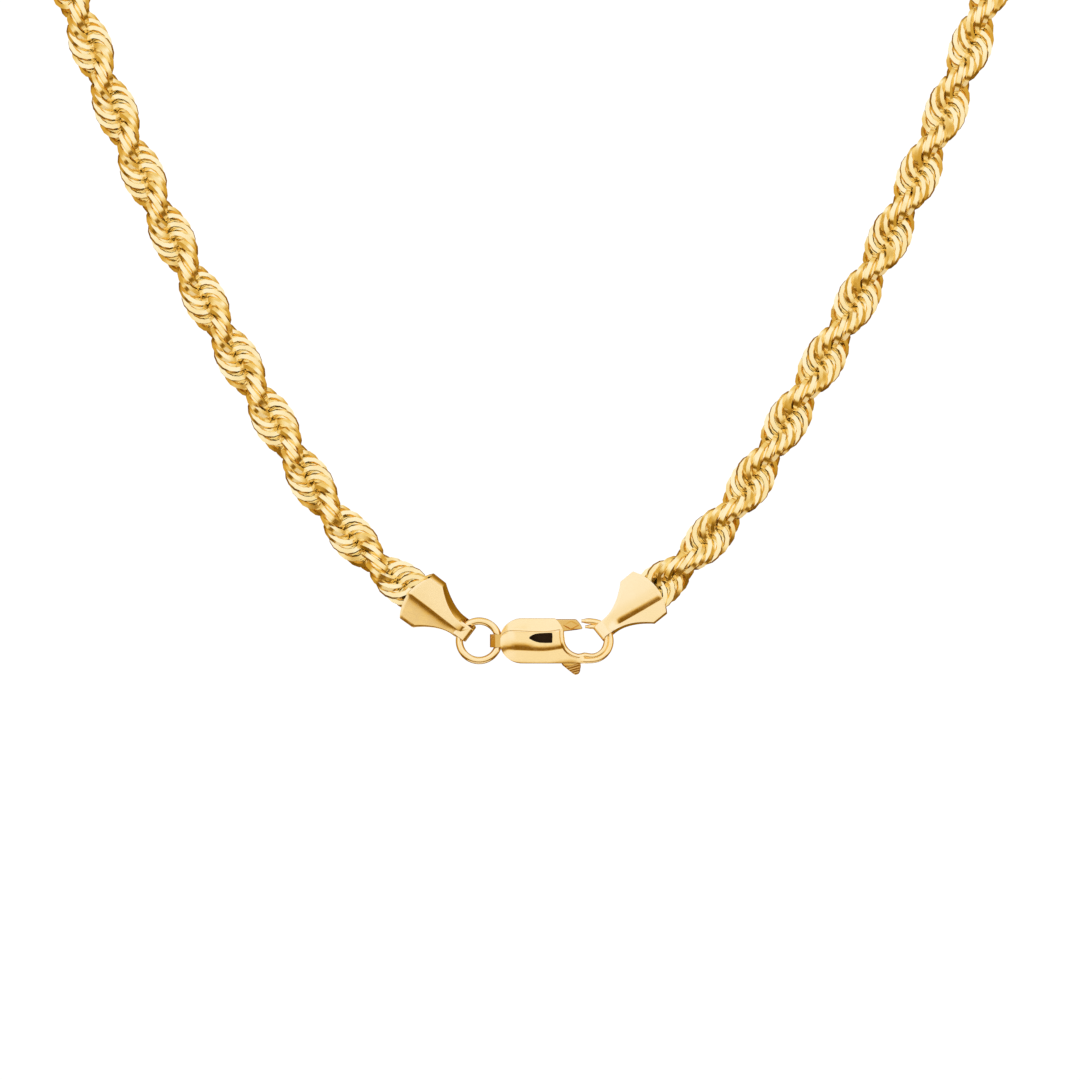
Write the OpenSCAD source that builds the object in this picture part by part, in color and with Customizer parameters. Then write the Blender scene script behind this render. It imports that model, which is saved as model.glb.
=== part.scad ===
// Rope chain necklace with two fan-shaped end caps, a jump ring and a lobster clasp.
// It hangs as it does round a neck, with its clasp at the front. Millimetres, +Z up, the
// front towards -Y. The origin is at the nape, on the side of the chain that bears there.

/* [Rope chain] */
// Diameter of the rope across its lobes
rope_d = 5; // [4.4:0.1:5.6]
// Thickness of the flattened end of the rope, inside an end cap
rope_end_t = 2.4; // [2:0.1:3]
// Length of rope held inside each end cap
rope_grip = 3.6; // [2.5:0.1:4.2]

/* [End caps] */
// Length from the axis of the cap's loop to the crown of its mouth
cap_len = 7.4; // [6.8:0.1:8.5]
// Thickness of the cap's sheet metal
cap_wall = 0.35; // [0.25:0.05:0.45]
// Length of the parallel cheeks beside the mouth
cheek_len = 1.8; // [1.2:0.1:2.4]
// Height of the mouth's round crown beyond the cheeks
cap_crown = 0.9; // [0.5:0.1:1.4]
// Width of the strap that loops round the ring or the hook
tab_w = 1.7; // [1.3:0.1:2]
// Thickness of that strap
strap_t = 0.3; // [0.2:0.05:0.4]
// Radius of the cap's domed faces at the mouth
dome_r = 8.5; // [7:0.5:12]
// Angle of the left cap's axis above the horizontal, in degrees
left_cap_angle = 37; // [34:1:40]
// Angle of the right cap's axis above the horizontal, in degrees
right_cap_angle = 39; // [36:1:42]
// Turn of the left cap about its own axis, in degrees
left_cap_roll = 20; // [0:1:22]
// Turn of the right cap about its own axis, in degrees
right_cap_roll = -9; // [-20:1:0]

/* [Jump ring] */
// Outer diameter of the ring
ring_od = 5.2; // [4.8:0.1:6]
// Diameter of the ring's wire
ring_wire = 0.82; // [0.7:0.02:0.9]

/* [Clasp] */
// Height of the clasp, which is the diameter of its two round ends
clasp_h = 5; // [4.8:0.1:5.4]
// Distance between the centres of its two round ends
clasp_span = 7.7; // [7.5:0.1:8]
// Distance from the centre of the rear round end to the flat of the tail
tail_reach = 2.4; // [2.3:0.05:2.45]
// Thickness of the clasp's body from front to back
clasp_t = 3; // [2.6:0.1:3.6]
// Thickness of the hook from front to back
hook_t = 1.3; // [1.2:0.05:1.5]
// Width of the hook's metal, seen from the front
hook_w = 0.85; // [0.7:0.05:0.9]
// Length of the opening inside the hook
hook_gap = 4.6; // [4.3:0.1:4.8]
// Height of the tail's eye along the ring's wire
eye_h = 1.4; // [1:0.1:1.8]
// Wall of the tail's eye
eye_wall = 0.33; // [0.2:0.01:0.45]

/* [Trigger lever] */
// Thickness of the lever from front to back
lever_t = 1; // [0.8:0.05:1.1]
// Radius of the lever's hub
hub_r = 0.65; // [0.55:0.05:0.7]
// Radius of the hinge pin
pin_r = 0.25; // [0.2:0.01:0.28]
// Height of the gate, seen from the front
gate_h = 1.35; // [1:0.05:1.45]
// Gap between the gate's end and the hook's tip
gate_gap = 0.35; // [0.25:0.05:0.5]
// How far the thumb piece stands out below the clasp
thumb_out = 1.3; // [0.8:0.1:1.6]

/* [Fits] */
// Gap between a strap or an eye and the wire or hook that it goes round
loop_play = 0.1; // [0.08:0.01:0.14]
// Gap between the rope and the inside of an end cap
cap_gap = 0.15; // [0.1:0.01:0.2]
// Radial play of the lever on its pin
pin_play = 0.05; // [0.03:0.01:0.08]
// Gap beside the lever in its slot
slot_gap = 0.1; // [0.08:0.01:0.15]

/* [Hidden] */
gold = [0.93, 0.72, 0.36];
dark_gold = [0.8, 0.58, 0.24];
far = 40;

// Half of the rope's course, from beside the end cap round to the nape, on the right. Here y is
// the depth behind the front and z the height above the clasp. The other half mirrors it.
half_route = [
    [17.1, 0, 8.6], [22.9, 0, 15.3], [29.7, 0, 26.4], [36.1, 0, 37.6], [41.7, 0, 48.7],
    [46.5, 0.5, 59.8], [50.7, 2, 70.9], [54.4, 6, 82], [57.6, 13.5, 92], [60.3, 24, 100.5],
    [62.2, 36, 107], [62.6, 49, 112.5], [61, 62, 117], [56.5, 74.5, 120.5], [49, 85.5, 123.2],
    [38.5, 94, 125.2], [26, 99.5, 126.4], [12.8, 102.3, 126.9]
];
nape = [0, 103, 127];
rope_sides = 10;
rope_steps = 2;

// Places along the clasp, measured from the centre of its rear round end
clasp_x = -1;
clasp_r = clasp_h / 2;
opening_r = clasp_r - hook_w;
opening_x = clasp_span - (hook_gap - 2 * opening_r);
pivot = [opening_x - opening_r - 0.75, 0.2];
gate_top = clasp_r - 0.1;
gate_low = gate_top - gate_h;
body_front = pivot.x + 0.3;
tip_r = 3.33;
gate_r = tip_r - gate_gap;

// A loop of some width goes round a curved wire or hook that lies between two radii. The loop's
// hole clears the outside of the curve at its middle and the inside of it at the loop's edges.
function hold_in(r_in, width) = sqrt(r_in * r_in - width * width / 4) - loop_play;
function hold_out(r_out) = r_out + loop_play;
function hold_mid(r_in, r_out, width) = (hold_out(r_out) + hold_in(r_in, width)) / 2;
function hold_half(r_in, r_out, width) = (hold_out(r_out) - hold_in(r_in, width)) / 2;

// The ring hangs in the tail's eye, and the caps hang on the ring and on the hook
ring_out = ring_od / 2;
ring_in = ring_out - ring_wire;
ring_r = ring_out - ring_wire / 2;
eye_r = hold_half(ring_in, ring_out, eye_h);
eye_x = -tail_reach - 0.25;
ring_x = clasp_x + eye_x - hold_mid(ring_in, ring_out, eye_h);

// Both caps have the same loop, which suits the thicker of the two things that it goes round
fold_r = 0.2;
loop_u = max(hold_half(ring_in, ring_out, tab_w), hold_half(opening_r, clasp_r, tab_w));
function loop_reach(half_t, roll) = half_t + tab_w / 2 * sin(abs(roll)) + loop_play + fold_r / 2;
loop_w = max(loop_reach(ring_wire / 2, left_cap_roll), loop_reach(hook_t / 2, right_cap_roll));
cap_hw = rope_d / 2 + 0.05 + cap_wall;
mouth_t = rope_end_t + 2 * (cap_gap + cap_wall);
cheek_end = cap_len - cap_crown;
cheek_start = cheek_end - cheek_len;
flare_start = loop_u;
flare_power = 1.9;
cavity_start = loop_u + strap_t + 1.1;

function unit(v) = v / norm(v);
function up_axis(angle) = [cos(angle), 0, sin(angle)];
left_loop = [ring_x, 0, 0] + hold_mid(ring_in, ring_out, tab_w) * up_axis(180 - left_cap_angle);
right_loop =
    [clasp_x + clasp_span, 0, 0] + hold_mid(opening_r, clasp_r, tab_w) * up_axis(right_cap_angle);
function left_cap_point(u) = left_loop + u * up_axis(180 - left_cap_angle);
function right_cap_point(u) = right_loop + u * up_axis(right_cap_angle);

module hung() translate([0, rope_d / 2 - nape.y, -nape.z]) children();

// Extrudes a shape drawn in X and Z through a thickness about the middle plane
module slab(thick) rotate([90, 0, 0]) linear_extrude(height = thick, center = true) children();

// Rope

mouth_u = cap_len + 0.2;
grip_u = cap_len - rope_grip;
route = concat(
    [left_cap_point(grip_u), left_cap_point(mouth_u)],
    [for (p = half_route) [-p.x, p.y, p.z]],
    [nape],
    [for (i = [len(half_route) - 1:-1:0]) half_route[i]],
    [right_cap_point(mouth_u), right_cap_point(grip_u)]
);

function route_at(i) = route[max(0, min(len(route) - 1, i))];
function bend(a, b, c, d, t) =
    0.5 * (2 * b + (c - a) * t + (2 * a - 5 * b + 4 * c - d) * t * t
        + (3 * b - a - 3 * c + d) * t * t * t);
course = [
    for (i = [0:len(route) - 2], k = [0:rope_steps - 1])
        bend(route_at(i - 1), route_at(i), route_at(i + 1), route_at(i + 2), k / rope_steps),
    route[len(route) - 1]
];
last = len(course) - 1;
end_rings = rope_steps;
// Inside a cap the rope is as thick as the cap's cavity, less the gap on both sides
loop_t = 2 * (loop_w + strap_t);
function pressed_r(u) = ((loop_t + (mouth_t - loop_t) * u / cap_len) / 2 - cap_wall) - cap_gap;
function rope_r(i) =
    let (k = min(i, last - i))
    k > end_rings ? rope_d / 2 : pressed_r(grip_u + (mouth_u - grip_u) * k / end_rings);
function heading(i) = unit(course[min(i + 1, last)] - course[max(i - 1, 0)]);
function side_of(t) = unit(cross([0, -1, 2], t));
function ring_point(i, a) =
    let (t = heading(i), s = side_of(t), n = cross(t, s))
    course[i] + rope_r(i) * (cos(a) * s + sin(a) * n);

module rope_chain() color(gold) hung() polyhedron(
    points = [for (i = [0:last], k = [0:rope_sides - 1]) ring_point(i, 360 * k / rope_sides)],
    faces = concat(
        [[for (k = [0:rope_sides - 1]) k]],
        [for (i = [0:last - 1], k = [0:rope_sides - 1])
            let (a = i * rope_sides + k, b = i * rope_sides + (k + 1) % rope_sides)
            [a, a + rope_sides, b + rope_sides, b]],
        [[for (k = [rope_sides - 1:-1:0]) last * rope_sides + k]]
    )
);

// End caps, drawn with the loop's axis at the origin and the mouth towards +X

function flare(u, hw) =
    tab_w / 2 + (hw - tab_w / 2) * pow((u - flare_start) / (cheek_start - flare_start), flare_power);
flare_u = [for (i = [0:8]) flare_start + (cheek_start - flare_start) * i / 8];
crown_r = (pow(cap_hw, 2) + pow(cap_crown, 2)) / (2 * cap_crown);
crown_a = asin(cap_hw / crown_r);
cap_upper = concat(
    [[0, tab_w / 2]],
    [for (u = flare_u) [u, flare(u, cap_hw)]],
    [for (i = [0:8]) let (a = crown_a * (1 - i / 8))
        [cap_len - crown_r + crown_r * cos(a), crown_r * sin(a)]]
);
cavity_upper = concat(
    [for (u = flare_u) if (u > cavity_start) [u, flare(u, cap_hw) - cap_wall]],
    [[cap_len + 1, cap_hw - cap_wall]]
);
function both_sides(upper) =
    concat(upper, [for (i = [len(upper) - 1:-1:0]) [upper[i].x, -upper[i].y]]);

// Lens-shaped space between two cones, thicker at the mouth than at the loop
dome_y = dome_r - mouth_t / 2;
module dome_half(side, thick_loop, thick_mouth) {
    grow = (thick_mouth - thick_loop) / 2 / cap_len;
    translate([-1, side * dome_y, 0]) rotate([0, 90, 0]) cylinder(
        h = cap_len + 2,
        r1 = dome_y + thick_loop / 2 - grow,
        r2 = dome_y + thick_mouth / 2 + grow,
        $fn = 96
    );
}
module dome(thick_loop, thick_mouth) intersection() {
    dome_half(-1, thick_loop, thick_mouth);
    dome_half(1, thick_loop, thick_mouth);
}

// Section of the folded strap: a rectangle with round corners
module rounded(u, w, r) union() {
    square([2 * u, 2 * (w - r)], center = true);
    square([2 * (u - r), 2 * w], center = true);
    for (x = [r - u, u - r], y = [r - w, w - r]) translate([x, y]) circle(r = r, $fn = 32);
}

module end_cap() difference() {
    union() {
        intersection() {
            slab(far) polygon(both_sides(cap_upper));
            dome(loop_t, mouth_t);
        }
        linear_extrude(height = tab_w, center = true)
            rounded(loop_u + strap_t, loop_w + strap_t, fold_r + strap_t);
    }
    intersection() {
        slab(far) polygon(both_sides(cavity_upper));
        dome(loop_t - 2 * cap_wall, mouth_t - 2 * cap_wall);
    }
    linear_extrude(height = far, center = true) rounded(loop_u, loop_w, fold_r);
}

module end_cap_left() color(gold) hung() translate(left_loop) mirror([1, 0, 0])
    rotate([0, -left_cap_angle, 0]) rotate([left_cap_roll, 0, 0]) end_cap();

module end_cap_right() color(gold) hung() translate(right_loop)
    rotate([0, -right_cap_angle, 0]) rotate([right_cap_roll, 0, 0]) end_cap();

// Jump ring

module torus(wire_r) rotate([90, 0, 0]) rotate_extrude($fn = 96) translate([ring_r, 0])
    circle(r = wire_r, $fn = 32);

module jump_ring() color(dark_gold) hung() translate([ring_x, 0, 0]) torus(ring_wire / 2);

// Clasp, drawn with the centre of its rear round end at the origin

module ends_joined(x0, x1, r) union() {
    for (x = [x0, x1]) translate([x, 0]) circle(r = r, $fn = 96);
    translate([x0, -r]) square([x1 - x0, 2 * r]);
}

module clasp_outline() difference() {
    ends_joined(0, clasp_span, clasp_r);
    translate([-far - tail_reach, -far / 2]) square([far, far]);
    ends_joined(opening_x, clasp_span, opening_r);
    intersection() {
        translate([body_front, gate_low - 0.1]) square([far, far]);
        translate(pivot) circle(r = tip_r, $fn = 96);
    }
}

// The body is thickest between two creases and thins towards its top and bottom edges
crease_z = 0.95;
belly_z = -0.6;
edge_t = 0.5 * clasp_t;
module clasp_section() rotate([90, 0, 90]) linear_extrude(height = far, center = true) polygon([
    [-clasp_t / 2, crease_z], [-edge_t / 2, clasp_r + 0.01], [edge_t / 2, clasp_r + 0.01],
    [clasp_t / 2, crease_z], [clasp_t / 2, belly_z], [edge_t / 2, -clasp_r - 0.01],
    [-edge_t / 2, -clasp_r - 0.01], [-clasp_t / 2, belly_z]
]);

// Seen from above, the body narrows to the tail behind and to the hook in front
tail_t = 2 * (eye_r + eye_wall);
taper_start = body_front + 0.4;
taper_end = clasp_span - 0.5;
plan_half = [
    [-far, tail_t / 2], [-tail_reach, tail_t / 2], [-0.6, clasp_t / 2], [taper_start, clasp_t / 2],
    [taper_end, hook_t / 2], [far, hook_t / 2]
];
module clasp_plan() linear_extrude(height = far, center = true) polygon(both_sides(plan_half));

slot_back = pivot.x - hub_r - 0.45;
slot_front = opening_x + 0.35;
module lever_slot() slab(lever_t + 2 * slot_gap) polygon([
    [slot_back, -far], [slot_back, crease_z], [pivot.x - 0.5, far / 2], [opening_x - 0.9, far / 2],
    [opening_x - 0.9, 0], [slot_front, -1], [slot_front, -far]
]);

window = [[-3.2, 0.35], [-2.8, 0.7], [-2.2, 0.88], [-0.62, 0.9], [-0.62, -0.25], [-2.1, -0.22], [-2.8, 0.02]];
module window_and_chamber() translate([pivot.x, 0, 0]) {
    translate([0, -clasp_t / 2, 0]) slab(clasp_t) polygon(window);
    translate([-3.3, 0, 0]) slab(lever_t + 2 * slot_gap) translate([0, -0.6]) square([3.3 - hub_r, 1.6]);
}

module clasp_body() color(gold) hung() translate([clasp_x, 0, 0]) {
    difference() {
        union() {
            intersection() {
                slab(far) clasp_outline();
                clasp_section();
                clasp_plan();
            }
            translate([eye_x, 0, 0]) cylinder(h = eye_h, r = eye_r + eye_wall, center = true, $fn = 48);
        }
        translate([eye_x, 0, 0]) cylinder(h = far, r = eye_r, center = true, $fn = 48);
        translate([ring_x - clasp_x, 0, 0]) torus(ring_wire / 2 + 0.1);
        lever_slot();
        window_and_chamber();
    }
    translate([pivot.x, 0, pivot.y]) rotate([90, 0, 0])
        cylinder(h = lever_t + 2 * slot_gap + 0.6, r = pin_r, center = true, $fn = 32);
}

// Trigger lever: gate above the pivot, thumb piece below it

thumb_low = -clasp_r - thumb_out;
module gate_outline() intersection() {
    translate(pivot) circle(r = gate_r, $fn = 96);
    polygon([
        [pivot.x - 0.5, pivot.y - 0.2], [pivot.x - 0.4, gate_top], [far, gate_top],
        [far, gate_low + 0.3], [pivot.x + 2.8, gate_low + 0.28], [pivot.x + 0.6, gate_low],
        [pivot.x + 0.5, pivot.y - 0.2]
    ]);
}

module thumb_outline() polygon([
    [pivot.x - 0.5, pivot.y + 0.3], [pivot.x + 0.55, pivot.y + 0.25], [opening_x - 1.4, -1.3],
    [opening_x - 0.65, -1.95], [opening_x + 0.1, 0.2 - clasp_r], [opening_x + 0.14, -clasp_r - 0.3],
    [opening_x + 0.05, thumb_low + 0.4], [opening_x - 0.45, thumb_low],
    [pivot.x + 0.5, -clasp_r - 0.2], [pivot.x - 0.05, -1.7]
]);

module clasp_trigger() color(dark_gold) hung() translate([clasp_x, 0, 0]) difference() {
    union() {
        slab(lever_t) translate(pivot) circle(r = hub_r, $fn = 48);
        slab(lever_t) gate_outline();
        slab(lever_t) thumb_outline();
    }
    slab(lever_t + 1) translate(pivot) circle(r = pin_r + pin_play, $fn = 48);
}

rope_chain();
end_cap_left();
end_cap_right();
jump_ring();
clasp_body();
clasp_trigger();
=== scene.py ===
"""Gold rope chain with a lobster clasp: the looks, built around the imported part."""
import math
import random

import bmesh
import bpy
from mathutils import Matrix, Vector


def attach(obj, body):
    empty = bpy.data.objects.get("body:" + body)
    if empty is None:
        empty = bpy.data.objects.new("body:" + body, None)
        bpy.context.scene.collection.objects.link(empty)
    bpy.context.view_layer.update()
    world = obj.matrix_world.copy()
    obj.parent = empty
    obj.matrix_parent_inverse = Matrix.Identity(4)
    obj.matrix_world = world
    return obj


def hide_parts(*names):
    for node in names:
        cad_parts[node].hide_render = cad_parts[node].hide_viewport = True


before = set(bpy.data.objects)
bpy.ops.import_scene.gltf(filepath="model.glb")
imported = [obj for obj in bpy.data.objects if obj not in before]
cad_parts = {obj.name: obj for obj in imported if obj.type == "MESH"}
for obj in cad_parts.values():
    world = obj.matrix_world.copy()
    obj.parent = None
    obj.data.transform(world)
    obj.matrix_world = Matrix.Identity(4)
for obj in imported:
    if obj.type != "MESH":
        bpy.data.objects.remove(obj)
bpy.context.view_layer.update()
scene = bpy.context.scene
MM = 0.001
ACROSS = Matrix.Rotation(math.pi / 2, 3, "X")
# Longer than a piece is deep, so that a cutter goes right through
THROUGH = 8

# Places, in millimetres: the part hangs below and in front of its nape
HANG = Vector((0, -100.5, -127))
CLASP = HANG + Vector((-1, 0, 0))
LEFT_LOOP = HANG + Vector((-7.43, 0, 1.253))
RIGHT_LOOP = HANG + Vector((8.22, 0, 1.232))
LEFT_ANGLE, LEFT_ROLL = math.radians(37), math.radians(20)
RIGHT_ANGLE, RIGHT_ROLL = math.radians(39), math.radians(-9)


# Materials

def set_inputs(node, values):
    """Gives a node's inputs their values, by name."""
    for name, value in values.items():
        node.inputs[name].default_value = value


def polish_group():
    """Node group with the look of polished metal: fine wear in colour, roughness and height."""
    group = bpy.data.node_groups.new("polish", "ShaderNodeTree")
    group.interface.new_socket("Scale", in_out="INPUT", socket_type="NodeSocketFloat")
    for name in ("Tone", "Roughness", "Height"):
        group.interface.new_socket(name, in_out="OUTPUT", socket_type="NodeSocketFloat")
    nodes, links = group.nodes, group.links
    given = nodes.new("NodeGroupInput")
    out = nodes.new("NodeGroupOutput")
    place = nodes.new("ShaderNodeTexCoord")
    ripple = nodes.new("ShaderNodeTexNoise")
    set_inputs(ripple, {"Detail": 2.0, "Roughness": 0.45})
    links.new(place.outputs["Object"], ripple.inputs["Vector"])
    links.new(given.outputs["Scale"], ripple.inputs["Scale"])
    fine_scale = nodes.new("ShaderNodeMath")
    fine_scale.operation = "MULTIPLY"
    fine_scale.inputs[1].default_value = 6.0
    links.new(given.outputs["Scale"], fine_scale.inputs[0])
    fine = nodes.new("ShaderNodeTexNoise")
    set_inputs(fine, {"Detail": 3.0})
    links.new(place.outputs["Object"], fine.inputs["Vector"])
    links.new(fine_scale.outputs[0], fine.inputs["Scale"])
    tone = nodes.new("ShaderNodeMapRange")
    set_inputs(tone, {"From Min": 0.3, "From Max": 0.7, "To Min": 0.0, "To Max": 1.0})
    links.new(ripple.outputs["Fac"], tone.inputs["Value"])
    links.new(tone.outputs["Result"], out.inputs["Tone"])
    rough = nodes.new("ShaderNodeMapRange")
    set_inputs(rough, {"From Min": 0.35, "From Max": 0.65, "To Min": 0.12, "To Max": 0.2})
    links.new(fine.outputs["Fac"], rough.inputs["Value"])
    links.new(rough.outputs["Result"], out.inputs["Roughness"])
    links.new(ripple.outputs["Fac"], out.inputs["Height"])
    return group


POLISH = polish_group()


def plain(name, colour, metallic, roughness):
    """Material of one even colour."""
    material = bpy.data.materials.new(name)
    material.use_nodes = True
    set_inputs(material.node_tree.nodes["Principled BSDF"],
               {"Base Color": (*colour, 1), "Metallic": metallic, "Roughness": roughness})
    return material


def gold(name, colour, deep, scale, bump):
    """Polished gold: deep is the colour of its richer patches, scale and bump those of its wear."""
    material = bpy.data.materials.new(name)
    material.use_nodes = True
    nodes, links = material.node_tree.nodes, material.node_tree.links
    shader = nodes["Principled BSDF"]
    shader.inputs["Metallic"].default_value = 1.0
    wear = nodes.new("ShaderNodeGroup")
    wear.node_tree = POLISH
    wear.inputs["Scale"].default_value = scale
    mix = nodes.new("ShaderNodeMix")
    mix.data_type = "RGBA"
    set_inputs(mix, {"A": (*colour, 1), "B": (*deep, 1)})
    links.new(wear.outputs["Tone"], mix.inputs["Factor"])
    links.new(mix.outputs["Result"], shader.inputs["Base Color"])
    links.new(wear.outputs["Roughness"], shader.inputs["Roughness"])
    height = nodes.new("ShaderNodeBump")
    set_inputs(height, {"Strength": bump, "Distance": 0.0001})
    links.new(wear.outputs["Height"], height.inputs["Height"])
    links.new(height.outputs["Normal"], shader.inputs["Normal"])
    return material


ROPE_GOLD = gold("rope_gold", (1.0, 0.86, 0.52), (0.98, 0.82, 0.45), 500.0, 0.02)
CAP_GOLD = gold("cap_gold", (1.0, 0.82, 0.51), (0.98, 0.80, 0.47), 350.0, 0.04)
RING_GOLD = gold("ring_gold", (1.0, 0.81, 0.48), (0.97, 0.78, 0.43), 500.0, 0.03)
# Painted shade: a darker copy of the gold, for the lever's arm and the tail, which look darker where they
# stand in shade
SHADED_GOLD = gold("shaded_trigger_gold", (0.82, 0.56, 0.2), (0.74, 0.47, 0.14), 350.0, 0.06)
CLASP_GOLD = gold("clasp_gold", (1.0, 0.8, 0.46), (0.98, 0.78, 0.42), 350.0, 0.04)

# Painted shade: a near-black brown for the faces inside the window, its chamber and the lever's slot,
# where shade falls
SHADOW = plain("painted_shade_inside", (0.06, 0.026, 0.003), 0.6, 0.5)


# Mesh helpers

def smoothstep(a, b, x):
    """Rises from 0 at a to 1 at b, and a may be the larger."""
    t = max(0.0, min(1.0, (x - a) / (b - a)))
    return t * t * (3 - 2 * t)


def along(table, x):
    """Value at x of a smooth curve through (x, value) pairs."""
    last = len(table) - 1
    if x <= table[0][0]:
        return table[0][1]
    if x >= table[last][0]:
        return table[last][1]
    i = max(k for k in range(last) if table[k][0] <= x)

    def slope(k):
        before, after = table[max(0, k - 1)], table[min(last, k + 1)]
        return (after[1] - before[1]) / (after[0] - before[0])

    (x0, y0), (x1, y1) = table[i], table[i + 1]
    span = x1 - x0
    t = (x - x0) / span
    u = 1 - t
    return (y0 * (1 + 2 * t) * u * u + slope(i) * span * t * u * u
            + y1 * (3 - 2 * t) * t * t - slope(i + 1) * span * t * t * u)


def catmull(a, b, c, d, t):
    return 0.5 * (2 * b + (c - a) * t + (2 * a - 5 * b + 4 * c - d) * t * t
                  + (3 * b - a - 3 * c + d) * t * t * t)


def curve_through(points, steps):
    """Smooth line through points, with steps places from one point to the next."""
    line = []
    for i in range(len(points) - 1):
        a, b = points[max(0, i - 1)], points[i]
        c, d = points[i + 1], points[min(len(points) - 1, i + 2)]
        line += [catmull(a, b, c, d, k / steps) for k in range(steps)]
    return line + [points[-1]]


def loft(bm, rings):
    """Skin through rings of points; each closes on itself, and equal first and last rings meet."""
    rows, sides = len(rings), len(rings[0])
    made = bmesh.ops.create_grid(bm, x_segments=rows - 1, y_segments=sides, size=1)["verts"]
    for v in made:
        i = round((v.co.x + 1) / 2 * (rows - 1))
        j = round((v.co.y + 1) / 2 * sides)
        v.co = rings[i][j % sides]
    bmesh.ops.remove_doubles(bm, verts=made, dist=1e-5)
    return [v for v in made if v.is_valid]


def close_ends(bm, verts):
    """Fills the holes at the open edges of verts and turns the faces outwards."""
    edges = {e for v in verts for e in v.link_edges if e.is_boundary}
    bmesh.ops.holes_fill(bm, edges=list(edges), sides=0)
    bmesh.ops.recalc_face_normals(bm, faces=bm.faces)


def slab(outline, depth, y=0.0):
    """Plate with an outline in X and Z, depth thick about the plane at y."""
    bm = bmesh.new()
    face = bm.faces.new([bm.verts.new((x, y - depth / 2, z)) for x, z in outline])
    pushed = bmesh.ops.extrude_face_region(bm, geom=[face])["geom"]
    verts = [g for g in pushed if isinstance(g, bmesh.types.BMVert)]
    bmesh.ops.translate(bm, verts=verts, vec=(0, depth, 0))
    bmesh.ops.recalc_face_normals(bm, faces=bm.faces)
    return bm


def rod(sides, radius, length, centre, turn=None):
    """Round bar along Z, or along Z turned by a matrix."""
    bm = bmesh.new()
    bmesh.ops.create_cone(bm, cap_ends=True, segments=sides, radius1=radius, radius2=radius,
                          depth=length)
    if turn is not None:
        bmesh.ops.rotate(bm, verts=bm.verts, matrix=turn)
    bmesh.ops.translate(bm, verts=bm.verts, vec=centre)
    bmesh.ops.recalc_face_normals(bm, faces=bm.faces)
    return bm


def hoop(sides, wire, radius, steps, rolled=0.0):
    """Ring of wire in the plane of X and Z; wire is the wire's radius, and rolled turns its sides."""
    bm = bmesh.new()
    bmesh.ops.create_circle(bm, segments=sides, radius=wire)
    bmesh.ops.rotate(bm, verts=bm.verts, matrix=Matrix.Rotation(rolled, 3, "Z"))
    bmesh.ops.translate(bm, verts=bm.verts, vec=(radius, 0, 0))
    bmesh.ops.spin(bm, geom=bm.verts[:] + bm.edges[:], cent=(0, 0, 0), axis=(0, 1, 0),
                   angle=2 * math.pi, steps=steps, use_merge=True)
    bmesh.ops.remove_doubles(bm, verts=bm.verts, dist=1e-4)
    return bm


def arc(centre, radius, angles):
    """Points on a circle in X and Z, at angles in degrees."""
    x, z = centre
    return [(x + radius * math.cos(a), z + radius * math.sin(a)) for a in map(math.radians, angles)]


def soften(bm, angle, offset, segments=2):
    """Bevels the edges that turn by more than angle degrees."""
    limit = math.radians(angle)
    edges = [e for e in bm.edges if len(e.link_faces) == 2 and e.calc_face_angle() > limit]
    bmesh.ops.bevel(bm, geom=edges, offset=offset, segments=segments, profile=0.5,
                    affect="EDGES", clamp_overlap=True, material=-1)


def as_object(name, bm, material, smooth=30, scale=1):
    """Object at the origin; edges that turn by more than smooth degrees stay sharp."""
    bmesh.ops.recalc_face_normals(bm, faces=bm.faces)
    bmesh.ops.scale(bm, verts=bm.verts, vec=(scale, scale, scale))
    for face in bm.faces:
        face.smooth = True
    mesh = bpy.data.meshes.new(name)
    bm.to_mesh(mesh)
    bm.free()
    mesh.set_sharp_from_angle(angle=math.radians(smooth))
    mesh.materials.append(material)
    obj = bpy.data.objects.new(name, mesh)
    scene.collection.objects.link(obj)
    return obj


def combine(obj, parts, operation, fine=False):
    """Joins parts to obj or cuts them from it, and removes them; fine is for parts that cross."""
    for part in parts:
        change = obj.modifiers.new(operation.lower(), "BOOLEAN")
        change.operation = operation
        change.solver = "EXACT"
        change.use_self = fine
        change.object = part
    bpy.context.view_layer.update()
    graph = bpy.context.evaluated_depsgraph_get()
    mesh = bpy.data.meshes.new_from_object(obj.evaluated_get(graph))
    mesh.set_sharp_from_angle(angle=math.radians(30))
    obj.modifiers.clear()
    obj.data = mesh
    for part in parts:
        bpy.data.objects.remove(part)


def clean(mesh):
    """Takes out the slivers that cuts and joins leave, in a mesh drawn in millimetres."""
    bm = bmesh.new()
    bm.from_mesh(mesh)
    bmesh.ops.dissolve_degenerate(bm, dist=1e-4, edges=bm.edges)
    bm.to_mesh(mesh)
    bm.free()


def finish_piece(obj, body, node):
    """Parents the object to an empty for the body that it rides, and hides the node that it stands in for.
    """
    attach(obj, body)
    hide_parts(node)


# Rope

# Radius of the rope over its lobes, thickness of a link's wire, radius of a link to the wire's middle
ROPE_WIDE = 2.45
LINK_WIRE = 0.8
LINK_R = 1.84
# How far a link's centre lies from the course, and how far the link leans
LINK_OUT = ROPE_WIDE - LINK_WIRE / 2 - LINK_R
LINK_LEAN = math.radians(9)
# Length of a lobe, which is half a turn
LOBE = 7.84
LINKS_A_LOBE = 16
# From each end of the course: where the first link lies, and where the cap's mouth is
FIRST_IN, MOUTH_IN = 0.9, 3.6
# Within the caps the twist eases off over this length, and the links leave this room
TWIST_EASE, CAP_ROOM = 0.6, 0.42
# How unevenly the links are turned, in radians
LINK_UNEVEN = 0.012

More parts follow.
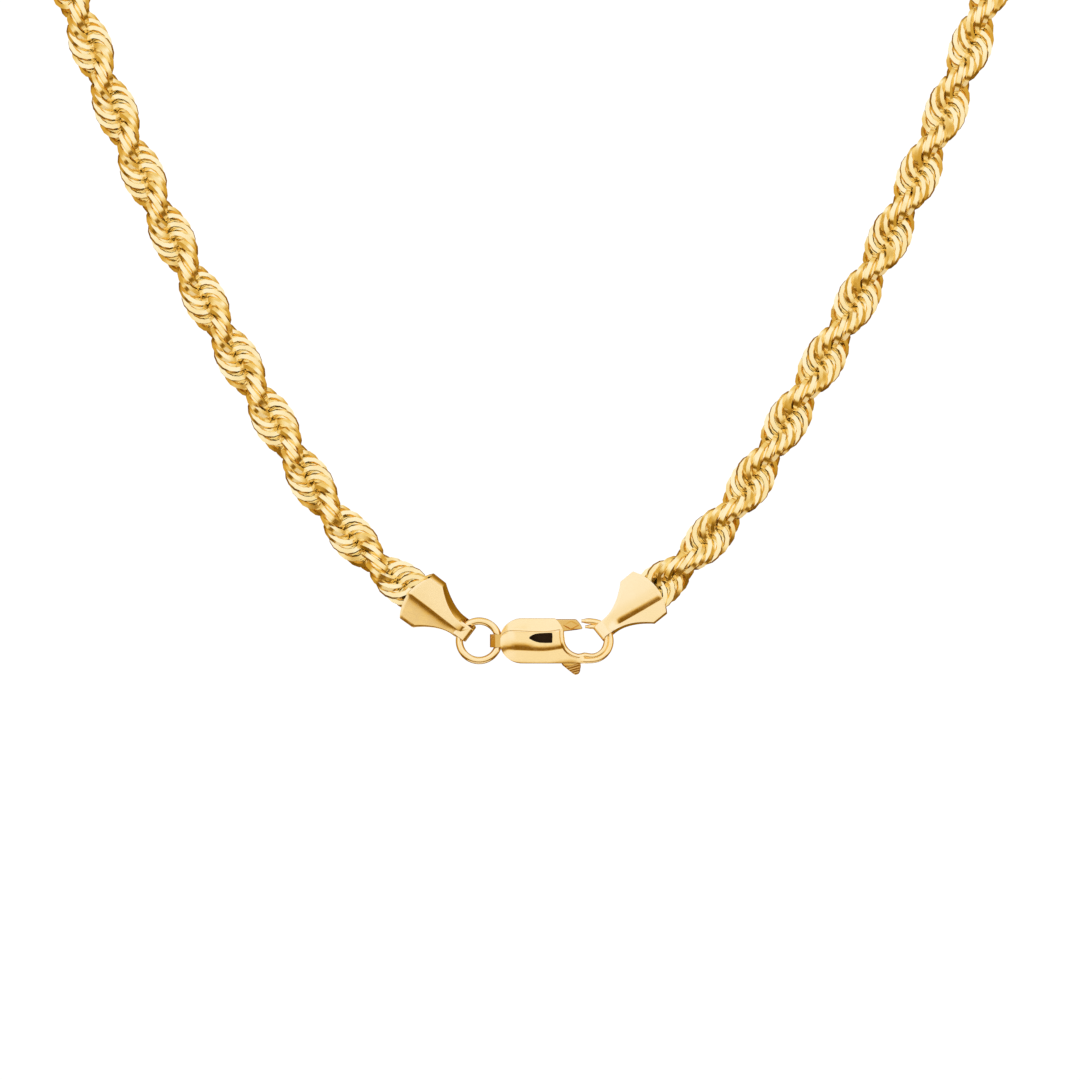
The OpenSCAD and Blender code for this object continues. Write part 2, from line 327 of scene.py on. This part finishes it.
# Half of the course on the right, in metres, from beside the cap to the nape
HALF_ROUTE = [
    (0.0171, 0, 0.0086), (0.0229, 0, 0.0153), (0.0297, 0, 0.0264), (0.0361, 0, 0.0376),
    (0.0417, 0, 0.0487), (0.0465, 0.0005, 0.0598), (0.0507, 0.002, 0.0709),
    (0.0544, 0.006, 0.082), (0.0576, 0.0135, 0.092), (0.0603, 0.024, 0.1005),
    (0.0622, 0.036, 0.107), (0.0626, 0.049, 0.1125), (0.061, 0.062, 0.117),
    (0.0565, 0.0745, 0.1205), (0.049, 0.0855, 0.1232), (0.0385, 0.094, 0.1252),
    (0.026, 0.0995, 0.1264), (0.0128, 0.1023, 0.1269),
]
NAPE = (0, 0.103, 0.127)


def cap_axis(angle, side):
    """Direction from a cap's loop to its mouth."""
    return Vector((side * math.cos(angle), 0, math.sin(angle)))


def cap_matrix(loop, angle, roll, side):
    """Places a cap drawn with its loop at the origin, its mouth towards +X and its front at -Y."""
    turned = Matrix.Rotation(-angle, 4, "Y") @ Matrix.Rotation(roll, 4, "X")
    return Matrix.Translation(loop) @ Matrix.Diagonal((side, 1, 1, 1)) @ turned


LEFT_CAP = cap_matrix(LEFT_LOOP, LEFT_ANGLE, LEFT_ROLL, -1)
RIGHT_CAP = cap_matrix(RIGHT_LOOP, RIGHT_ANGLE, RIGHT_ROLL, 1)


def course():
    """Places along the rope at even steps, in millimetres, with their distance from the start."""
    half = [HANG + 1000 * Vector(p) for p in HALF_ROUTE]
    mirrored = [Vector((-p.x, p.y, p.z)) for p in half]
    left, right = cap_axis(LEFT_ANGLE, -1), cap_axis(RIGHT_ANGLE, 1)
    points = [LEFT_LOOP + 3.8 * left, LEFT_LOOP + 7.6 * left, *mirrored, HANG + 1000 * Vector(NAPE),
              *reversed(half), RIGHT_LOOP + 7.6 * right, RIGHT_LOOP + 3.8 * right]
    line = curve_through(points, 40)
    walked = [0.0]
    for a, b in zip(line, line[1:]):
        walked.append(walked[-1] + (b - a).length)
    return line, walked


def frames(line):
    """Heading at each place, and a direction across it that turns with it as little as it can."""
    headings = []
    for i in range(len(line)):
        headings.append((line[min(i + 1, len(line) - 1)] - line[max(i - 1, 0)]).normalized())
    across = [(Vector((0, 0, 1)) - headings[0] * headings[0].z).normalized()]
    for i in range(1, len(line)):
        turn = headings[i - 1].rotation_difference(headings[i])
        side = turn @ across[-1]
        across.append((side - headings[i] * side.dot(headings[i])).normalized())
    return headings, across


def angle_about(axis, a, b):
    """Angle from a to b about an axis across both."""
    return math.atan2(axis.dot(a.cross(b)), a.dot(b))


def link_template():
    """One link: a ring of wire that leans a little from the rope's course."""
    bm = hoop(5, LINK_WIRE / 2, LINK_R, 16, math.radians(18))
    bmesh.ops.recalc_face_normals(bm, faces=bm.faces)
    bmesh.ops.rotate(bm, verts=bm.verts, matrix=Matrix.Rotation(LINK_LEAN, 3, "X"))
    bmesh.ops.translate(bm, verts=bm.verts, vec=(LINK_OUT, 0, 0))
    mesh = bpy.data.meshes.new("link")
    bm.to_mesh(mesh)
    bm.free()
    return mesh


def cap_flare(u):
    """Half width of a cap's outline at u."""
    if u <= HOLE_HU:
        return STRAP_HW
    return STRAP_HW + (CAP_HW - STRAP_HW) * min(1.0, (u - HOLE_HU) / (CHEEK - HOLE_HU)) ** 1.9


def rope():
    """Links laid along the course, by turns on either side of it, in a twist that runs from cap to cap."""
    line, walked = course()
    headings, across = frames(line)
    length = walked[-1]
    mouth_a, mouth_b = MOUTH_IN, length - MOUTH_IN
    places = [0]

    def at(s):
        """Point, heading and direction across at s along the course."""
        while places[0] < len(walked) - 2 and walked[places[0] + 1] < s:
            places[0] += 1
        while places[0] > 0 and walked[places[0]] > s:
            places[0] -= 1
        i = places[0]
        t = (s - walked[i]) / (walked[i + 1] - walked[i])
        head = headings[i].lerp(headings[i + 1], t).normalized()
        side = across[i].lerp(across[i + 1], t)
        return line[i].lerp(line[i + 1], t), head, (side - head * side.dot(head)).normalized()

    # The widest lobe lies in the plane of each cap at its mouth
    flat = []
    for s, matrix in ((mouth_a, LEFT_CAP), (mouth_b, RIGHT_CAP)):
        point, head, side = at(s)
        plane = matrix.to_3x3() @ Vector((0, 0, 1))
        flat.append(angle_about(head, side, plane))
    span = mouth_b - mouth_a
    lobes = round(span / LOBE)
    turn = lobes * math.pi + (flat[1] - flat[0] + math.pi / 2) % math.pi - math.pi / 2
    pitch = span * math.pi / turn / LINKS_A_LOBE
    rate = turn / span
    template = link_template()
    chance = random.Random(5)
    bm = bmesh.new()
    k = 0
    s = mouth_a - pitch * int((mouth_a - FIRST_IN) / pitch)
    while s < length - FIRST_IN:
        inside = max(mouth_a - s, s - mouth_b, 0.0)
        eased = TWIST_EASE * (1 - math.exp(-inside / TWIST_EASE))
        phase = flat[0] + rate * (min(max(s, mouth_a), mouth_b) - mouth_a)
        phase += rate * eased * (1 if s > mouth_b else -1)
        point, head, side = at(s)
        other = head.cross(side)
        fit = 1.0
        if inside > 0:
            fit = min(1.0, (cap_flare(CAP_LEN - inside) - CAP_ROOM) / ROPE_WIDE)
        place = Matrix((side, other, head)).transposed().to_4x4()
        place.translation = point
        spin = Matrix.Rotation(phase + (k % 2) * math.pi + chance.gauss(0, LINK_UNEVEN), 4, "Z")
        wobble = Matrix.Rotation(chance.gauss(0, LINK_UNEVEN), 4, "X")
        move = place @ spin @ wobble @ Matrix.Scale(fit, 4)
        template.transform(move)
        bm.from_mesh(template)
        template.transform(move.inverted())
        k += 1
        s += pitch
    bpy.data.meshes.remove(template)
    print("rope length", round(length, 1), "links", k, "pitch", round(pitch, 4))
    obj = as_object("rope_links", bm, ROPE_GOLD, 50, MM)
    finish_piece(obj, "necklace", "rope_chain")


# End caps

# Length to the mouth's crown, half width at the mouth, where the sides end, height of the crown
CAP_LEN, CAP_HW, CHEEK, CROWN = 7.4, 2.9, 4.7, 0.9
CROWN_R = (CAP_HW ** 2 + CROWN ** 2) / (2 * CROWN)
# Thickness at the loop and at the mouth, and of the sheet
LOOP_T, MOUTH_T, CAP_WALL = 2.566, 3.4, 0.35
# Half sizes of the loop's hole, half width and thickness of the strap round it, cut of its edges
HOLE_HU, HOLE_HY, STRAP_HW, STRAP_T, STRAP_CUT = 0.643, 0.983, 0.85, 0.3, 0.07
# The left strap's front is turned by this, towards the viewer
STRAP_TURN = math.radians(-9)
# Where along the cap its crest's place is given, and a mean length from its sides to the crown
CREST_LOOP, CREST_MOUTH, MEAN_CROWN = 2.1, 6.6, 2.3
# Shares of the way from the crest to each side
SHARES = [-1, -0.85, -0.65, -0.45, -0.3, -0.2, -0.12, -0.06, -0.02, 0.02, 0.06, 0.12, 0.2, 0.3, 0.4,
          0.5, 0.65, 0.82, 1]


def crest_at(crest, u, half):
    """Where a cap's crest lies across it: a straight line, given by its place at two lengths."""
    at_loop, at_mouth = crest
    way = (u - CREST_LOOP) / (CREST_MOUTH - CREST_LOOP)
    return max(-0.8 * half, min(0.8 * half, at_loop + (at_mouth - at_loop) * way))


def cap_fall(d, turned):
    """How far a cap's face falls at d from its crest, which on the turned cap is a step."""
    if turned:
        if d < 0:
            return 0.54 - 0.1 * d
        q = max(0.0, 1.5 - d)
        over = max(0.0, d - 1.5)
        return 0.24 * q * q + 0.03 * over + 0.01 * over * over
    if d > 0:
        return 0.13 * d + 0.01 * d * d
    return 0.12 * (1 - math.exp(d / 0.24)) + 0.07 * d


def cap_ring(u, shrink, crest, turned, mouth=None):
    """Section of a cap at u, or at the share mouth of the way from its sides to the crown."""
    ring = []
    for face in (-1, 1):
        for t in (SHARES if face < 0 else reversed(SHARES)):
            # The rows lie closest beside the crest
            at_u = u if mouth is None else CHEEK + MEAN_CROWN * mouth
            half = cap_flare(at_u) - shrink
            line = crest_at(crest, at_u, half) / half
            share = line + t * (1 - line if t > 0 else 1 + line)
            if mouth is not None:
                end = CAP_LEN - CROWN_R + math.sqrt(CROWN_R ** 2 - (share * CAP_HW) ** 2)
                at_u = CHEEK + (end - CHEEK) * mouth
            v = share * half
            thick = LOOP_T + (MOUTH_T - LOOP_T) * at_u / CAP_LEN
            if face < 0:
                drop = cap_fall(v - line * half, turned)
            else:
                drop = 0.16 * abs(v) + 0.05 * v * v
            drop *= smoothstep(0.3, 1.7, at_u)
            ring.append(Vector((at_u, face * (thick / 2 - drop - shrink), v)))
    return ring


def cap(name, matrix, node, crest, turned):
    """Hollow shell with a creased front, and the folded strap with its loop."""
    bm = bmesh.new()
    rings = [cap_ring(0.1 + 4.6 * i / 14, 0, crest, turned) for i in range(15)]
    rings += [cap_ring(0, 0, crest, turned, i / 6) for i in range(1, 7)]
    rings += [cap_ring(0, CAP_WALL, crest, turned, 1 - i / 6) for i in range(7)]
    rings += [cap_ring(CHEEK - 2.7 * i / 6, CAP_WALL, crest, turned) for i in range(1, 7)]
    shell = loft(bm, rings)
    close_ends(bm, shell)
    soften(bm, 38, 0.1)
    obj = as_object(name, bm, CAP_GOLD)

    hole = slab(rounded(HOLE_HU, HOLE_HY, 0.2, 4), THROUGH)
    bmesh.ops.rotate(hole, verts=hole.verts, matrix=ACROSS)
    combine(obj, [as_object("hole", hole, CAP_GOLD)], "DIFFERENCE")

    band = bmesh.new()
    t, w = STRAP_T / 2, STRAP_HW
    section = [(-t, STRAP_CUT - w), (STRAP_CUT - t, -w), (t - STRAP_CUT, -w), (t, STRAP_CUT - w),
               (t, w - STRAP_CUT), (t - STRAP_CUT, w), (STRAP_CUT - t, w), (-t, w - STRAP_CUT)]
    path = rounded(HOLE_HU + t, HOLE_HY + t, 0.3, 5)
    rings = []
    for i, (x, y) in enumerate(path):
        ahead, behind = path[(i + 1) % len(path)], path[i - 1]
        along_path = Vector((ahead[0] - behind[0], ahead[1] - behind[1], 0)).normalized()
        out = Vector((along_path.y, -along_path.x, 0))
        rings.append([Vector((x, y, 0)) + out * o + Vector((0, 0, v)) for o, v in section])
    loft(band, rings + [rings[0]])
    if not turned:
        bmesh.ops.rotate(band, verts=band.verts, matrix=Matrix.Rotation(STRAP_TURN, 3, "X"))
    combine(obj, [as_object("strap", band, CAP_GOLD)], "UNION")
    obj.data.transform(Matrix.Scale(MM, 4) @ matrix)
    if matrix.determinant() < 0:
        obj.data.flip_normals()
    finish_piece(obj, "necklace", node)


def rounded(u, w, r, steps):
    """Outline of a rectangle with round corners, half sizes u and w."""
    points = []
    for n, (cx, cy) in enumerate(((u - r, w - r), (r - u, w - r), (r - u, r - w), (u - r, r - w))):
        for k in range(steps + 1):
            a = math.pi / 2 * (n + k / steps)
            points.append((cx + r * math.cos(a), cy + r * math.sin(a)))
    return points


# Jump ring

RING_WIRE, RING_R = 0.41, 2.19
RING_CENTRE = HANG + Vector((-5.768, 0, 0))


def jump_ring():
    bm = hoop(20, RING_WIRE, RING_R, 96)
    bmesh.ops.translate(bm, verts=bm.verts, vec=RING_CENTRE)
    finish_piece(as_object("ring_wire", bm, RING_GOLD, 35, MM), "necklace", "jump_ring")


# Clasp

# Centre of the body's right end, and half its height
SPAN, ROUND = 7.7, 2.5
# Half depth of the body's flat part and of the hook
BODY_HD, HOOK_HD = 1.5, 0.74
# Centres of the tail's eye and of the lever's pin
TAIL = Vector((-2.65, 0, 0))
PIVOT = Vector((4.0, 0, 0.2))
SLOT_WIDE = 1.2
BAND_SIDES = 16
# Along X: height of the crease, and most half depth
CREASE = [(-2.4, 0.62), (-2.0, 0.95), (-1.5, 1.17), (-0.4, 1.19), (1.2, 1.1), (2.7, 1.09),
          (4.2, 1.3), (6.0, 1.5), (10.2, 1.5)]
PLAN = [(-2.4, 0.91), (-2.0, 1.02), (-1.3, 1.35), (-0.6, 1.56), (4.2, 1.56), (5.0, 1.46),
        (6.0, 1.1), (6.6, 0.85), (6.9, 0.7), (7.4, 0.3)]
# How far the face falls, by the distance below the crease
FALL = [(0, 0), (0.6, 0.0), (0.8, 0.005), (1.0, 0.02), (1.2, 0.05), (1.5, 0.125), (1.8, 0.222),
        (2.05, 0.325), (2.15, 0.368), (2.25, 0.398), (2.4, 0.42), (2.7, 0.458), (3.0, 0.5),
        (3.3, 0.55), (3.6, 0.62), (4.2, 0.8)]
# Paths of the bands in X and Z
RIM = [(4.4, 1.16), (4.4, 0.6), (4.45, 0.1), (4.62, -0.5), (4.98, -1.05), (5.5, -1.47),
       (6.1, -1.69), (6.55, -1.68), (6.95, -1.58), (7.4, -1.65), (7.9, -1.68), (8.45, -1.52),
       (8.95, -1.12), (9.25, -0.55), (9.36, 0.1), (9.26, 0.7), (8.97, 1.14), (8.5, 1.46),
       (8.0, 1.57), (7.4, 1.57), (7.0, 1.55)]
OUTER = [(5.2, -2.1), (5.8, -2.15), (6.6, -2.17), (7.7, -2.17), (8.53, -2.0), (9.23, -1.53),
         (9.7, -0.83), (9.87, 0), (9.7, 0.83), (9.23, 1.53), (8.53, 2.0), (7.7, 2.17), (7.1, 2.2),
         (6.6, 2.2)]


def half_height(x):
    """Half height of the clasp's outline at x, which is round at both ends."""
    if x < 0:
        return math.sqrt(max(0.0, ROUND ** 2 - x * x))
    if x > SPAN:
        return math.sqrt(max(1e-4, ROUND ** 2 - (x - SPAN) ** 2))
    return ROUND


def clasp_depth(x, z):
    """Half thickness of the clasp's body at x and z."""
    crease = min(along(CREASE, x), 0.8 * half_height(x))
    rise = z - crease
    share = 1 - (0.43 * rise - 0.05 * rise * rise) if rise >= 0 else 1 - along(FALL, -rise) / BODY_HD
    section = BODY_HD * max(0.3, share)
    if rise > 0:
        section -= 0.3 * rise * math.exp(-rise / 0.6) * smoothstep(0.5, 4.5, x)
    plan = along(PLAN, x)
    body = (plan ** -8 + section ** -8) ** -0.125 if x > 1 else section - max(0.0, BODY_HD - plan)
    groove = 0.1 * math.exp(-((rise + 0.1) / 0.08) ** 2)
    return body - groove * smoothstep(4.6, 3.6, x)


def clasp_ring(x):
    """Section of the clasp's body at x, with a row of points on its crease."""
    h = half_height(x)
    crease = min(along(CREASE, x), 0.8 * h)
    near = 0.3 * min(1.0, h)
    heights = [-h + (crease + h - near) * i / 30 for i in range(31)]
    heights += [crease - near * t for t in (0.73, 0.5, 0.27, 0.1)]
    heights += [crease + (h - crease) * i / 8 for i in range(9)]
    front = [Vector((x, -clasp_depth(x, z), z)) for z in heights]
    back = [Vector((x, clasp_depth(x, z), z)) for z in reversed(heights)]
    return front + back


def sweep(path, wide, deep_at):
    """Band along a path in X and Z, round in front and behind and narrower at its far end.

    deep_at gives its half depth at a point.
    """
    bm = bmesh.new()
    rings = []
    for i, p in enumerate(path):
        heading = (path[min(i + 1, len(path) - 1)] - path[max(i - 1, 0)]).normalized()
        out = Vector((heading.z, 0, -heading.x))
        deep = deep_at(p)
        trim = 1 - 0.45 * smoothstep(0.8, 0.0, (path[-1] - p).length)
        ring = []
        for k in range(BAND_SIDES):
            a = 2 * math.pi * (k + 0.5) / BAND_SIDES
            edge = deep - wide / 2 if math.sin(a) > 0 else wide / 2 - deep
            off = Vector((0, edge + wide / 2 * math.sin(a), 0))
            ring.append(p + trim * (out * (wide / 2 * math.cos(a)) + off))
        rings.append(ring)
    close_ends(bm, loft(bm, rings))
    return bm


def rim_depth(p):
    """Half depth of the rim: proud of the body, and even along the hook."""
    if p.x > 7.2 or p.z > 1.4:
        return HOOK_HD
    out = (p - Vector((6.9, 0, 0))).normalized()
    proud = 0.2 + max(clasp_depth(q.x, q.z) for q in (p, p + out * 0.2, p + out * 0.35))
    return max(HOOK_HD, proud + (HOOK_HD - proud) * smoothstep(5.6, 7.2, p.x))


def outer_depth(p):
    """Half depth of the hook's outer layer: a little more where it leaves the body."""
    if p.z >= 0:
        return 0.7
    return 0.7 + 0.1 * smoothstep(7.6, 6.8, p.x) * smoothstep(5.2, 6.0, p.x)


def tool_from(outline, depth, y=0.0, dark=False):
    """Cutter with an outline in X and Z; the faces that it leaves may be painted dark, as painted shade.
    """
    tool = as_object("tool", slab(outline, depth, y), CLASP_GOLD)
    tool.data.materials.append(SHADOW)
    for face in tool.data.polygons:
        face.material_index = 1 if dark else 0
    return tool


def clasp_body():
    """Creased shell with its opening, rim, hook, tail, window and the room inside for the lever."""
    bm = bmesh.new()
    stations = [-2.4, -2.35, -2.25, -2.1, -1.9, -1.65, -1.35, -1.0, -0.6, -0.2]
    stations += [0.3 + 0.5 * i for i in range(7)] + [3.6 + 0.12 * i for i in range(32)]
    close_ends(bm, loft(bm, [clasp_ring(x) for x in stations]))
    soften(bm, 52, 0.1)
    body = as_object("clasp_shell", bm, CLASP_GOLD, 35)
    # Second slot: the painted shade for the faces that the dark cutters leave
    body.data.materials.append(SHADOW)
    # Third slot: the darker copy of the gold, which is painted shade
    body.data.materials.append(SHADED_GOLD)

    # Opening, the gate's notch and the lever's slot
    opening = arc((6.4, 0), 1.65, [90 + 7.5 * k for k in range(25)])
    opening += arc((SPAN, 0), 1.65, [7.5 * k - 90 for k in range(25)])
    tip = arc((PIVOT.x, PIVOT.z), 3.33, range(12, 86, 4))
    notch = [(4.62, 0.95), (4.8, 0.1), (tip[0][0], 0.1)] + tip
    notch += [(3.6, 4.0), (3.7, 2.45), (3.98, 2.2), (4.28, 1.8), (4.5, 1.35)]
    cuts = [
        tool_from(opening, THROUGH),
        tool_from(notch, THROUGH),
        tool_from([(5.6, -0.6), (9.0, -0.6), (9.0, 4.0), (5.6, 4.0)], THROUGH),
        # The lever's slot leaves faces painted dark, as painted shade
        tool_from([(2.9, -6), (6.75, -6), (6.75, -1), (5.5, 0), (5.5, 1.0), (2.9, 1.0)], SLOT_WIDE,
                  dark=True),
        tool_from([(3.5, 0.9), (5.5, 0.9), (5.5, 5), (3.5, 5)], SLOT_WIDE),
    ]
    combine(body, cuts, "DIFFERENCE", True)

    # Rim round the opening, the hook's outer layer, and the tail's eye
    bands = []
    for path, wide, deep_at in ((RIM, 0.54, rim_depth), (OUTER, 0.64, outer_depth)):
        band = sweep(curve_through([Vector((x, 0, z)) for x, z in path], 4), wide, deep_at)
        bands.append(as_object("band", band, CLASP_GOLD, 35))
    eye = rod(9, 0.93, 1.46, TAIL)
    soften(eye, 60, 0.06)
    tail = as_object("tail", eye, CLASP_GOLD)
    tail.data.materials.append(SHADOW)
    tail.data.materials.append(SHADED_GOLD)
    # The tail's faces take the darker copy of the gold, as painted shade
    for face in tail.data.polygons:
        face.material_index = 2
    combine(body, bands + [tail], "UNION", True)

    # Bore of the eye, room round the jump ring, window with its chamber
    room = hoop(24, RING_WIRE + 0.1, RING_R, 64)
    bmesh.ops.translate(room, verts=room.verts, vec=RING_CENTRE - CLASP)
    window = [(PIVOT.x + x, z) for x, z in (
        (-3.18, 0.26), (-3.2, 0.4), (-3.08, 0.54), (-2.8, 0.69), (-2.5, 0.8), (-2.1, 0.86), (-1.4, 0.9),
        (-0.72, 0.92), (-0.64, 0.87), (-0.6, 0.35), (-0.64, -0.15), (-0.72, -0.21), (-1.4, -0.22),
        (-2.0, -0.19), (-2.4, -0.1), (-2.75, 0.03), (-3.08, 0.2))]
    combine(body, [
        as_object("bore", rod(40, 0.582, 6, TAIL), CLASP_GOLD),
        as_object("room", room, CLASP_GOLD),
        # The window and the chamber behind it leave faces painted dark, as painted shade
        tool_from(window, 2.0, -1.3, dark=True),
        tool_from([(0.7, -0.4), (3.35, -0.4), (3.35, 1.0), (0.7, 1.0)], SLOT_WIDE, dark=True),
    ], "DIFFERENCE", True)
    combine(body, [as_object("pin", rod(24, 0.25, 1.8, PIVOT, ACROSS), CLASP_GOLD)], "UNION", True)
    body.data.transform(Matrix.Scale(MM, 4) @ Matrix.Translation(CLASP))
    finish_piece(body, "necklace", "clasp_body")


# Thickness of the lever, and the height from which its thumb piece leans back
LEVER_T, THUMB_TOP = 1.0, -2


def thumb_front(z):
    """Where the front of the thumb piece lies; below the body it leans back."""
    return -LEVER_T / 2 + 0.31 * max(0.0, THUMB_TOP - z)


def lever():
    """Gate with its lozenge, hub, and thumb piece with its ribs."""
    gate = [(3.5, 0.0), (3.55, 1.6), (3.6, 2.4)]
    gate += arc((PIVOT.x, PIVOT.z), 2.98, (47.6, 42, 37, 32, 27, 22.5))
    gate += [(6.2, 1.24), (5.4, 1.13), (4.6, 1.05), (4.5, 0.0)]
    arm = slab(gate, LEVER_T)
    soften(arm, 40, 0.14)
    # The arm takes the darker copy of the gold, as painted shade
    obj = as_object("trigger_lever", arm, SHADED_GOLD)

    thumb = slab([(3.5, 0.5), (4.55, 0.45), (5.0, -1.3), (5.75, -1.95), (6.5, -2.3), (6.54, -2.8),
                  (6.45, -3.4), (6.3, -3.68), (5.95, -3.8), (5.7, -3.68), (5.1, -3.2), (4.5, -2.72),
                  (3.95, -1.7)], LEVER_T)
    bmesh.ops.bisect_plane(thumb, geom=thumb.verts[:] + thumb.edges[:] + thumb.faces[:], dist=1e-5,
                           plane_co=(0, 0, THUMB_TOP), plane_no=(0, 0, 1))
    for v in thumb.verts:
        if v.co.y < 0:
            v.co.y = thumb_front(v.co.z)
    soften(thumb, 25, 0.09)
    lozenge = slab([(4.5, 1.72), (5.45, 2.28), (6.42, 1.76), (5.45, 1.22)], 0.3, -LEVER_T / 2)
    soften(lozenge, 40, 0.13, 1)
    parts = [as_object("thumb", thumb, CLASP_GOLD),
             as_object("hub", rod(40, 0.65, LEVER_T, PIVOT, ACROSS), CLASP_GOLD),
             as_object("lozenge", lozenge, CLASP_GOLD)]
    # Ribs across the thumb piece
    for x0, z0, x1, z1 in ((4.9, -3.0, 6.4, -2.55), (5.2, -3.22, 6.42, -2.85),
                           (5.45, -3.42, 6.4, -3.15), (5.7, -3.6, 6.35, -3.42)):
        start, end = Vector((x0, thumb_front(z0), z0)), Vector((x1, thumb_front(z1), z1))
        turn = Vector((0, 0, 1)).rotation_difference(end - start).to_matrix()
        rib = rod(12, 0.085, (end - start).length, (start + end) / 2, turn)
        parts.append(as_object("rib", rib, CLASP_GOLD))
    combine(obj, parts, "UNION")
    combine(obj, [as_object("bore", rod(32, 0.3, 3, PIVOT, ACROSS), CLASP_GOLD)], "DIFFERENCE")
    clean(obj.data)
    obj.data.transform(Matrix.Scale(MM, 4) @ Matrix.Translation(CLASP))
    finish_piece(obj, "trigger", "clasp_trigger")


rope()
cap("cap_left", LEFT_CAP, "end_cap_left", (0.05, 0.15), False)
cap("cap_right", RIGHT_CAP, "end_cap_right", (-0.7, -1.5), True)
jump_ring()
clasp_body()
lever()


# Studio

def studio():
    """Pale floor far below, a bright room that the metal reflects, and the camera."""
    bm = bmesh.new()
    bmesh.ops.create_circle(bm, cap_ends=True, segments=96, radius=0.4)
    bmesh.ops.translate(bm, verts=bm.verts, vec=(0, -0.05, -0.8))
    mesh = bpy.data.meshes.new("floor")
    bm.to_mesh(mesh)
    bm.free()
    floor = bpy.data.objects.new("floor", mesh)
    scene.collection.objects.link(floor)
    mesh.materials.append(plain("pale_floor", (0.97, 0.97, 0.97), 0.0, 0.9))

    world = bpy.data.worlds.new("studio")
    world.use_nodes = True
    scene.world = world
    nodes, links = world.node_tree.nodes, world.node_tree.links
    out = nodes["World Output"]
    room = nodes["Background"]
    place = nodes.new("ShaderNodeTexCoord")

    def facing(direction):
        """How far a ray goes in a direction: 1 along it, 0 across it."""
        node = nodes.new("ShaderNodeVectorMath")
        node.operation = "DOT_PRODUCT"
        links.new(place.outputs["Generated"], node.inputs[0])
        node.inputs[1].default_value = Vector(direction).normalized()
        return node.outputs["Value"]

    def ramp(value, low, high, bottom, top):
        node = nodes.new("ShaderNodeMapRange")
        node.interpolation_type = "SMOOTHSTEP"
        links.new(value, node.inputs["Value"])
        set_inputs(node, {"From Min": low, "From Max": high, "To Min": bottom, "To Max": top})
        return node.outputs["Result"]

    def times(a, b):
        node = nodes.new("ShaderNodeMath")
        node.operation = "MULTIPLY"
        links.new(a, node.inputs[0])
        links.new(b, node.inputs[1])
        return node.outputs["Value"]

    # A bright room with soft screens in it; its dimmer parts are warm
    height = nodes.new("ShaderNodeSeparateXYZ")
    links.new(place.outputs["Generated"], height.inputs[0])
    above = ramp(height.outputs["Z"], -0.66, -0.42, 0.0, 1.0)
    below = ramp(height.outputs["Z"], -0.94, -0.78, 1.0, 0.0)
    edge = nodes.new("ShaderNodeMath")
    edge.operation = "MAXIMUM"
    links.new(above, edge.inputs[0])
    links.new(below, edge.inputs[1])
    level = nodes.new("ShaderNodeMapRange")
    links.new(edge.outputs["Value"], level.inputs["Value"])
    set_inputs(level, {"To Min": 0.16, "To Max": 1.0})
    light = level.outputs["Result"]
    for direction, low, high, left in (
            ((-1, 0.2, 0), 0.62, 0.9, 0.4), ((1, 0.2, 0), 0.62, 0.9, 0.4),
            ((0, 1, 0), 0.3, 0.8, 0.2), ((0, 0.1, 1), 0.78, 0.96, 0.6),
            ((0, -1, 0.05), 0.9, 1.0, 0.86)):
        light = times(light, ramp(facing(direction), low, high, 1.0, left))
    light = times(light, ramp(height.outputs["Z"], -0.45, 0.0, 0.84, 1.0))
    colours = nodes.new("ShaderNodeValToRGB")
    stops = colours.color_ramp.elements
    stops[0].position = 0.0
    stops[0].color = (0.08, 0.035, 0.004, 1)
    stops[1].position = 1.0
    stops[1].color = (1.03, 1.03, 1.1, 1)
    for at, colour in ((0.2, (0.3, 0.14, 0.006)), (0.4, (0.68, 0.42, 0.08)),
                       (0.6, (0.89, 0.71, 0.36)), (0.8, (0.97, 0.89, 0.72))):
        stops.new(at).color = (*colour, 1)
    links.new(light, colours.inputs["Fac"])
    links.new(colours.outputs["Color"], room.inputs["Color"])
    room.inputs["Strength"].default_value = 1.0
    seen = nodes.new("ShaderNodeBackground")
    set_inputs(seen, {"Color": (1, 1, 1, 1), "Strength": 1.05})
    path = nodes.new("ShaderNodeLightPath")
    mix = nodes.new("ShaderNodeMixShader")
    links.new(path.outputs["Is Camera Ray"], mix.inputs[0])
    links.new(room.outputs[0], mix.inputs[1])
    links.new(seen.outputs[0], mix.inputs[2])
    links.new(mix.outputs[0], out.inputs["Surface"])

    camera_data = bpy.data.cameras.new("camera")
    camera_data.lens = 180
    camera_data.sensor_width = 36
    camera_data.clip_start = 0.01
    camera = bpy.data.objects.new("camera", camera_data)
    # 0.6 m in front of the clasp
    camera.location = (0.001, -0.1005 - 0.6, -0.1158)
    camera.rotation_euler = (math.pi / 2, 0, 0)
    scene.collection.objects.link(camera)
    scene.camera = camera
    scene.view_settings.view_transform = "Standard"


studio()
